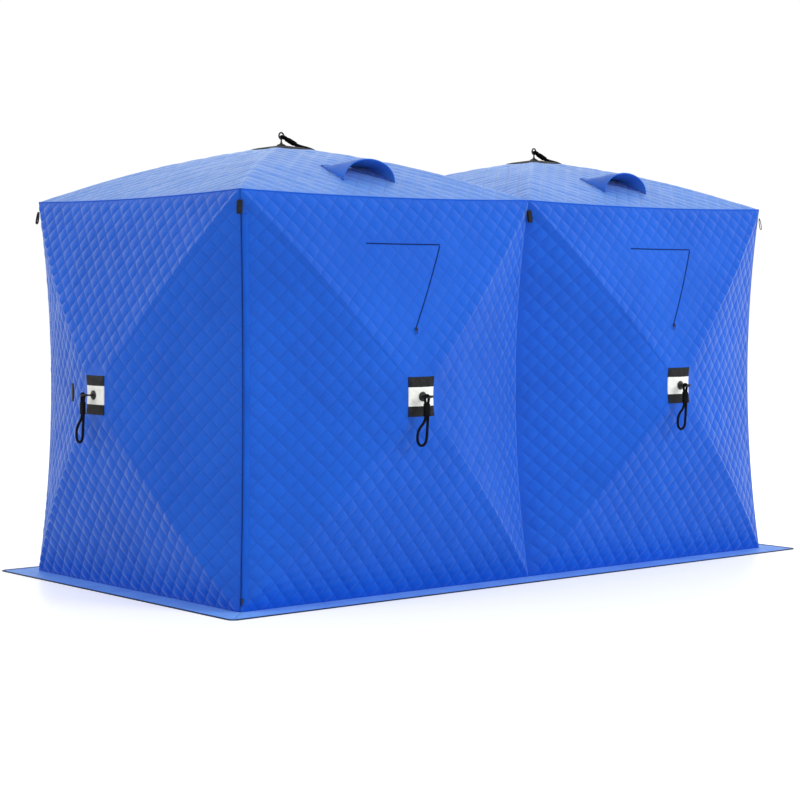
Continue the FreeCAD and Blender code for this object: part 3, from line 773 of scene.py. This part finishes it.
def pull_frame(panel):
    """Where on its ring a pull loop hangs, and its own two directions, in the panel's coordinates."""
    ring = np.array([0, 0, panel.bulge + RING_HEIGHT])
    if panel.is_roof:
        up = np.array([0, 0, 1.0])
        ahead = np.array([math.cos(ROOF_RING_TURN), math.sin(ROOF_RING_TURN), 0])
        hang = ahead * math.cos(ROOF_PULL_DIP) - up * math.sin(ROOF_PULL_DIP)
        return ring + hang * RING_RADIUS, np.cross(up, ahead), hang
    lowest = np.array([-math.sin(WALL_RING_TILT), -math.cos(WALL_RING_TILT), 0])
    return ring + lowest * RING_RADIUS, np.array([1.0, 0, 0]), np.array([0, -1.0, 0])


def spline_points(route):
    """Points along a smooth NURBS line whose control points are the route's."""
    curve = bpy.data.curves.new("route", "CURVE")
    curve.dimensions = "3D"
    curve.resolution_u = 24
    spline = curve.splines.new("NURBS")
    spline.points.add(len(route) - 1)
    for point, place in zip(spline.points, route):
        point.co = (*place, 1.0)
    spline.order_u = 3
    spline.use_endpoint_u = True
    holder = bpy.data.objects.new("route", curve)
    bpy.context.collection.objects.link(holder)
    bpy.context.view_layer.update()
    mesh = bpy.data.meshes.new_from_object(holder.evaluated_get(bpy.context.evaluated_depsgraph_get()))
    line = np.array([v.co[:] for v in mesh.vertices])
    bpy.data.objects.remove(holder)
    bpy.data.meshes.remove(mesh)
    return line


def make_pull(panel, rope, sleeve_cloth):
    """A braided rope loop through the ring, and the sleeve that closes it."""
    wire, across, hang = pull_frame(panel)
    route = [panel.world(wire + across * p + hang * q) for p, q in PULL_ROUTE]
    line = spline_points(route)
    around = 18
    sides = sides_along(line)
    points, uv = [], []
    for place, (a, b), along in zip(line, sides, run_along(line)):
        for j in range(around):
            angle = 2 * math.pi * j / around
            turn = along * BRAID_TURNS
            strand = math.sin(3 * angle + turn) * math.sin(3 * angle - turn)
            radius = ROPE_RADIUS * (0.97 + 0.05 * strand)
            points.append(place + radius * (math.cos(angle) * a + math.sin(angle) * b))
            uv.append((j / around, along))
    faces = capped_tube(len(line), around)
    piece = new_mesh(f"rope_{panel.name}", points, faces, [rope], uv)
    sleeve = make_sleeve(panel, wire, across, hang, sleeve_cloth)
    for item in (piece, sleeve):
        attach(item, panel.hub)
        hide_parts("pull_" + panel.name)


def make_sleeve(panel, wire, across, hang, cloth):
    """A whipped sleeve: a flattened tube with its turns of cord showing as ridges."""
    face = np.cross(across, hang)
    around, rows = 40, 56
    points, uv = [], []
    for i in range(rows):
        along = SLEEVE_SPAN[0] + (SLEEVE_SPAN[1] - SLEEVE_SPAN[0]) * i / (rows - 1)
        ridge = 0.0005 * math.cos(i * math.pi / 2)
        end = min(i, rows - 1 - i)
        shrink = 0.0012 * (1 - min(end / 3, 1)) ** 2
        for j in range(around):
            angle = 2 * math.pi * j / around
            c, s = math.cos(angle), math.sin(angle)
            wide = (SLEEVE_SIZE[0] + ridge - shrink) * math.copysign(abs(c) ** 0.6, c)
            thick = (SLEEVE_SIZE[1] + ridge - shrink) * math.copysign(abs(s) ** 0.75, s)
            points.append(wire + across * wide + face * thick + hang * along)
            uv.append((j / around, along))
    faces = grid_faces(rows, around, closed=True)
    piece = new_mesh(f"sleeve_{panel.name}", panel.world(points), faces, [cloth], uv)
    with_modifiers(piece, SOLIDIFY=dict(thickness=0.0012, offset=-1.0))
    return piece


def make_poles(panel, rod, plastic, steel):
    """Four bowed poles, each with its pivot ferrule and its tip cap."""
    reach = math.hypot(*panel.half)
    for up, up_name in ((-1, "lower"), (1, "upper")):
        for across, across_name in ((-1, "left"), (1, "right")):
            corner = np.array([across * panel.half[0], up * panel.half[1], 0])
            way = corner / reach
            pin = way * PIN_CIRCLE + np.array([0, 0, panel.bulge - PIN_DEPTH])
            tip = way * (reach - TIP_SHORT)
            tip[2] = panel.ridge_height(TIP_SHORT / reach) - TIP_DEPTH
            chord = np.linalg.norm(tip - pin)
            heading = (tip - pin) / chord
            rise = np.cross(heading, np.cross(np.array([0, 0, 1.0]), way))
            rise *= math.copysign(1, rise[2]) / np.linalg.norm(rise)
            ferrule, cap = FERRULE_LENGTH / chord, 1 - CAP_LENGTH / chord
            nose = -FERRULE_NOSE / chord
            stops = [(nose, 0.35, 1), (nose + 0.002, 0.9, 1), (nose + 0.004, 1, 1), (ferrule - 0.002, 1, 1),
                     (ferrule, 0.95, 1)]
            stops = [(f, k * FERRULE_RADIUS, m) for f, k, m in stops]
            stops += [(f, POLE_RADIUS, 0) for f in np.linspace(ferrule + 1e-4, cap - 1e-4, 34)]
            end = 1 + 0.006 / chord
            stops += [(f, k * FERRULE_RADIUS, 2) for f, k in
                      ((cap, 0.93), (cap + 0.001, 1), (end - 0.003, 1), (end - 0.0012, 0.85), (end, 0.4))]
            line = [pin + heading * chord * f + rise * 4 * POLE_BOW * f * (1 - f) for f, _, _ in stops]
            kinds = [m for _, _, m in stops]
            around = 14
            face_kinds = [kinds[i] for i in range(len(stops) - 1) for _ in range(around)] + [1, 2]
            name = "_".join(("pole", panel.name, up_name, across_name))
            piece = swept(panel.world(line), [r for _, r, _ in stops], around, "flexed_" + name,
                          [rod, steel, plastic], face_kinds)
            panel.bend(piece, corner[:2])
            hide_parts(name)


# ---- hoods, loops and skirt

def make_hood(panel, cloth, dark):
    """A vent hood: an arched mouth that faces the front and falls to a straight seam at the back."""
    around, rows = 49, 30
    points, uv = [], []
    for i in range(rows):
        f = i / (rows - 1)
        half_width = HOOD_MOUTH[0] * (1 - f) + HOOD_BACK[0] * f
        swell = 1 + 0.10 * math.sin(math.pi * f)
        height = (HOOD_MOUTH[1] * (1 - f) + HOOD_BACK[1] * f) * swell
        y = HOOD_MOUTH[2] * (1 - f) + HOOD_BACK[2] * f
        for j in range(around):
            angle = math.pi * j / (around - 1)
            crease = 0.0012 * math.sin(7 * angle + 5 * f) * math.sin(math.pi * f)
            x = half_width * math.cos(angle)
            base = panel.cloth("lower", [(x, y)])[0][2] + 0.002
            points.append((x, y, base + (height + crease) * math.sin(angle) ** ARCH_POWER))
            uv.append((j / around, f))
    faces = facing_out(np.array(points), grid_faces(rows, around))
    name = panel.name.split("_")[1]
    hood = new_mesh(f"hood_{name}", panel.world(points), faces, [cloth, dark], uv)
    # painted light: the inner side takes the second material, painted paler than the outside
    with_modifiers(hood, SOLIDIFY=dict(thickness=0.002, offset=-1.0, material_offset=1))
    arch_line = []
    for j in range(61):
        angle = math.pi * j / 60
        x = HOOD_MOUTH[0] * math.cos(angle)
        base = panel.cloth("lower", [(x, HOOD_MOUTH[2])])[0][2] + 0.003
        arch_line.append((x, HOOD_MOUTH[2] - 0.001, base + HOOD_MOUTH[1] * math.sin(angle) ** ARCH_POWER))
    brim = swept(panel.world(arch_line), [0.0034] * 61, 10, f"hood_brim_{name}", [cloth])
    side = list(zip(*(np.linspace(HOOD_MOUTH[i], HOOD_BACK[i], 14) for i in (0, 2))))
    back = [(x, HOOD_BACK[2]) for x in np.linspace(HOOD_BACK[0], -HOOD_BACK[0], 14)[1:-1]]
    hem = side + back + [(-x, y) for x, y in reversed(side)]
    line = panel.cloth("lower", hem)
    line[:, 2] += 0.005
    seam = swept(panel.world(line), [0.0026] * len(line), 8, f"hood_seam_{name}", [cloth])
    for piece in (hood, brim, seam):
        panel.bend_facet(piece, "lower")
        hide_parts(f"vent_hood_{name}")


def make_guy_loops(webbing):
    """A loop of webbing under each upper corner."""
    outline = []
    half_depth, half_length = LOOP_DEPTH / 2 - 0.001, LOOP_LENGTH / 2 - 0.001
    for k in range(48):
        angle = 2 * math.pi * k / 48
        c, s = math.cos(angle), math.sin(angle)
        narrow = 0.45 + 0.55 * (0.5 - 0.5 * s)
        outline.append((half_depth * c * narrow, half_length * math.copysign(abs(s) ** 0.7, s)))
    for x in (-BAY, 0, BAY):
        for y in (-HALF, HALF):
            out = np.array([(x > 1) - (x < -1), math.copysign(1, y), 0.0])
            out /= np.linalg.norm(out)
            side = np.array([-out[1], out[0], 0])
            middle = np.array([x, y, EAVE - LOOP_DROP - LOOP_LENGTH / 2])
            middle += out * (LOOP_STAND + LOOP_DEPTH / 2)
            points, uv, run = [], [], 0.0
            for k, (o, z) in enumerate(outline):
                before = outline[k - 1]
                run += math.hypot(o - before[0], z - before[1])
                for w in np.linspace(-0.5, 0.5, 7):
                    outward = out * (o - LOOP_LEAN * (z + 0.01))
                    points.append(middle + outward + side * w * LOOP_WIDTH + np.array([0, 0, z]))
                    uv.append((w * LOOP_WIDTH, run))
            faces = [(a * 7 + b, a * 7 + b + 1, ((a + 1) % 48) * 7 + b + 1, ((a + 1) % 48) * 7 + b)
                     for a in range(48) for b in range(6)]
            place = ("left", "middle", "right")[int(x / BAY) + 1]
            name = f"guy_loop_{'front' if y < 0 else 'back'}_{place}"
            loop = new_mesh(name, points, faces, [webbing], uv)
            with_modifiers(loop, SOLIDIFY=dict(thickness=0.0018, offset=0.0),
                           BEVEL=dict(width=0.0004, segments=2, limit_method="ANGLE", angle_limit=0.8))
            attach(loop, "tent")
            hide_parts("guy_loops")


def make_skirt(cloth, binding):
    """Four mitred flaps laid on the ground round the walls, each with its bound edge."""
    sides = {"front": ((0, -1), BAY, HALF), "back": ((0, 1), BAY, HALF),
             "left": ((-1, 0), HALF, BAY), "right": ((1, 0), HALF, BAY)}
    for name, (out, half_run, stand) in sides.items():
        out = np.array(out, float)
        run = np.array([-out[1], out[0]])
        columns, rows = 161, 16
        points, edge, uv = [], [], []
        for i in range(rows):
            f = i / (rows - 1)
            width = SKIRT_WIDTH * f
            for j in range(columns):
                g = 2 * j / (columns - 1) - 1
                reach = half_run + width
                along, away = g * reach, stand + width
                corner_in = half_run + SKIRT_WIDTH - SKIRT_CORNER
                if f > 0.8 and abs(along) > corner_in:
                    over = abs(along) - corner_in
                    drop = SKIRT_CORNER - math.sqrt(max(SKIRT_CORNER ** 2 - over ** 2, 0))
                    away -= drop * (f - 0.8) / 0.2
                x, y = run * along + out * away
                lift = 0.5 + 0.5 * noise.noise(Vector((x * 2.3, y * 2.3, 3.0)))
                lift += 0.3 * noise.noise(Vector((x * 9.0, y * 9.0, 7.0)))
                wave = 0.0045 * max(lift, 0) * math.sin(math.pi * min(f * 1.15, 1))
                z = 0.0026 + wave + 0.004 * (1 - f) ** 6
                points.append((x, y, z))
                uv.append((f * SKIRT_WIDTH, along))
                if i == rows - 1:
                    edge.append((x, y, 0.0026))
        faces = grid_faces(rows, columns)
        first = np.array(points)
        i, j, k = faces[0][:3]
        if np.cross(first[j] - first[i], first[k] - first[i])[2] < 0:
            faces = [face[::-1] for face in faces]
        flap = new_mesh(f"skirt_{name}", points, faces, [cloth], uv)
        with_modifiers(flap, SOLIDIFY=dict(thickness=0.0016, offset=-1.0))
        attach(flap, "tent")
        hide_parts("snow_skirt")
        inner = np.array(edge) - np.append(out, 0) * BINDING_WIDTH
        bound = make_binding(name, np.array(edge), inner, binding)
        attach(bound, "tent")
        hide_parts("snow_skirt")


def make_binding(name, outer, inner, cloth):
    """A folded strip over the skirt's edge."""
    profile = [(0, 0.0012), (0, 0.0046), (0.45, 0.0050), (0.93, 0.0046), (1.0, 0.0040), (1.0, 0.0008),
               (0.93, 0.0002), (0.0, 0.0002)]
    points, uv = [], []
    for a, b in zip(inner, outer):
        for part, z in profile:
            place = a * (1 - part) + b * part
            points.append((place[0], place[1], z))
            uv.append((part, place[0] + place[1]))
    faces = grid_faces(len(outer), len(profile), closed=True)
    return new_mesh(f"skirt_binding_{name}", points, faces, [cloth], uv)


# ---- scene

PALE = (0.58, 0.74, 1.0)     # the tint of the quilted cloth's sheen


def make_materials():
    """All the looks by name. Colours are linear, the darker and the brighter of each cloth's tones."""
    return {
        "wall": quilted_cloth("quilted_blue", (0.002, 0.089, 0.555), (0.004, 0.105, 0.62), 1.0, PALE),
        # painted light: the roof's quilted cloth is the walls' cloth painted paler, for the light from above
        # and the grazing sheen on the roof
        "roof": quilted_cloth("quilted_blue_roof", (0.060, 0.205, 0.66), (0.080, 0.235, 0.72), 0.9, PALE),
        "trim": woven_cloth("trim_blue", (0.002, 0.088, 0.55), (0.004, 0.104, 0.62), 0.45, 900.0, 0.2),
        # painted shade: this dark navy goes on the corner seam beside the door's zip, for the shade along
        # that corner
        "navy": woven_cloth("trim_navy", (0.003, 0.045, 0.30), (0.004, 0.055, 0.36), 0.5, 900.0, 0.15),
        "lining": woven_cloth("lining", (0.010, 0.03, 0.14), (0.016, 0.045, 0.19), 0.7, 700.0),
        "hood": woven_cloth("hood_blue", (0.016, 0.118, 0.55), (0.024, 0.152, 0.65), 0.42, 900.0),
        # painted light: the hood's inner side is painted paler than its outside, so the shaded hollow under
        # the hood reads lit
        "hood_inside": woven_cloth("hood_inside", (0.070, 0.250, 0.70), (0.085, 0.290, 0.78), 0.6, 900.0),
        "skirt": woven_cloth("skirt_blue", (0.16, 0.36, 0.88), (0.19, 0.42, 0.94), 0.5, 900.0),
        "binding": woven_cloth("binding_navy", (0.006, 0.012, 0.05), (0.010, 0.02, 0.08), 0.6, 1200.0),
        "webbing": ribbed_webbing("black_webbing", (0.006, 0.006, 0.007), (0.018, 0.018, 0.020), 520.0),
        "white": ribbed_webbing("white_webbing", (0.82, 0.83, 0.78), (0.90, 0.91, 0.87), 520.0),
        "rope": woven_cloth("braided_rope", (0.0015, 0.0016, 0.002), (0.006, 0.006, 0.008), 0.7, 1500.0,
                            0.08),
        "plastic": moulded_plastic("black_nylon", (0.008, 0.008, 0.009), (0.020, 0.020, 0.022)),
        "steel": coated_steel("plated_steel", (0.35, 0.35, 0.36), (0.55, 0.55, 0.57)),
        "rod": fibreglass("black_fibreglass"),
        "zip": zip_tape("navy_zip")}


def make_camera():
    """A level camera to the left of the front, its lens shifted down as an architect's is."""
    camera = bpy.data.objects.new("camera", bpy.data.cameras.new("camera"))
    camera.data.lens = 90.3
    camera.data.sensor_width = 36.0
    camera.data.shift_y = -0.134
    camera.data.clip_end = 200.0
    camera.location = (-6.879, -8.095, 1.412)
    camera.rotation_euler = (math.radians(90), 0, math.radians(50.05 - 90))
    bpy.context.collection.objects.link(camera)
    bpy.context.scene.camera = camera


def make_floor():
    """A pale floor that looks as white as the room, and bounces a little less light than it shows."""
    s = Shader("pale_floor", 0.35, Specular_IOR_Level=0.3, Emission_Color=rgb(1, 1, 1))
    s.colour(s.mix(s.noise(s.place(), 0.6), rgb(0.87, 0.87, 0.875), rgb(0.90, 0.90, 0.90)))
    seen = s.add("ShaderNodeLightPath", {}, "Is Camera Ray")
    s.tree.links.new(s.math("MULTIPLY", seen, 0.36), s.principled.inputs["Emission Strength"])
    corners = [(-40, -40, 0), (40, -40, 0), (40, 40, 0), (-40, 40, 0)]
    floor = new_mesh("floor", corners, [(0, 1, 2, 3)], [s.material])


def area_light(name, place, aim, size, power):
    """A soft white lamp that faces a point."""
    light = bpy.data.lights.new(name, "AREA")
    light.shape = "RECTANGLE"
    light.size, light.size_y = size
    light.energy = power
    holder = bpy.data.objects.new(name, light)
    holder.location = place
    holder.rotation_euler = (Vector(aim) - Vector(place)).to_track_quat("-Z", "Y").to_euler()
    holder.visible_glossy = False
    bpy.context.collection.objects.link(holder)


def make_lights():
    """A white room, dimmer as a light than it looks, with soft lamps in front and to the left."""
    scene = bpy.context.scene
    scene.view_settings.view_transform = "Standard"
    scene.world = bpy.data.worlds.new("studio")
    scene.world.use_nodes = True
    tree = scene.world.node_tree
    background = tree.nodes["Background"]
    background.inputs["Color"].default_value = rgb(1.0, 1.0, 1.0)
    diffuse = tree.nodes.new("ShaderNodeLightPath").outputs["Is Diffuse Ray"]
    strength = tree.nodes.new("ShaderNodeMapRange")
    strength.inputs["To Min"].default_value = 1.02
    strength.inputs["To Max"].default_value = 0.74
    tree.links.new(diffuse, strength.inputs["Value"])
    tree.links.new(strength.outputs[0], background.inputs["Strength"])
    area_light("front", (6.0, -12.0, 6.0), (0, 0, 1.0), (6, 5), 1010)
    area_light("left", (-8.0, 1.0, 6.0), (0, 0, 1.0), (5, 5), 160)


def main():
    make_camera()
    looks = make_materials()
    panels = make_panels()
    for panel in panels:
        make_pull(panel, looks["rope"], looks["rope"])
    make_floor()
    make_lights()
    flats = {}
    for panel in panels:
        if panel.half not in flats:
            flats[panel.half] = [lattice_facets(panel.half, lines) for lines in (CELL_LINES, LINING_LINES)]
        cloth = looks["roof" if panel.is_roof else "wall"]
        make_cloth(panel, *flats[panel.half], cloth, looks["lining"])
        make_patch(panel, looks["webbing"], looks["white"])
        make_hardware(panel, looks["plastic"], looks["steel"])
        make_poles(panel, looks["rod"], looks["plastic"], looks["steel"])
        if panel.is_roof:
            make_hood(panel, looks["hood"], looks["hood_inside"])
        if panel.name in ("front_left", "front_right"):
            make_window(panel, looks["zip"], looks["plastic"])
        if panel.name == "front_left":
            make_door(panel, looks["zip"], looks["trim"], looks["plastic"])
        if panel.name == "end_left":
            make_keeper(panel, looks["webbing"])
    make_seams(panels, looks["trim"], looks["navy"])
    make_guy_loops(looks["webbing"])
    make_skirt(looks["skirt"], looks["binding"])


main()
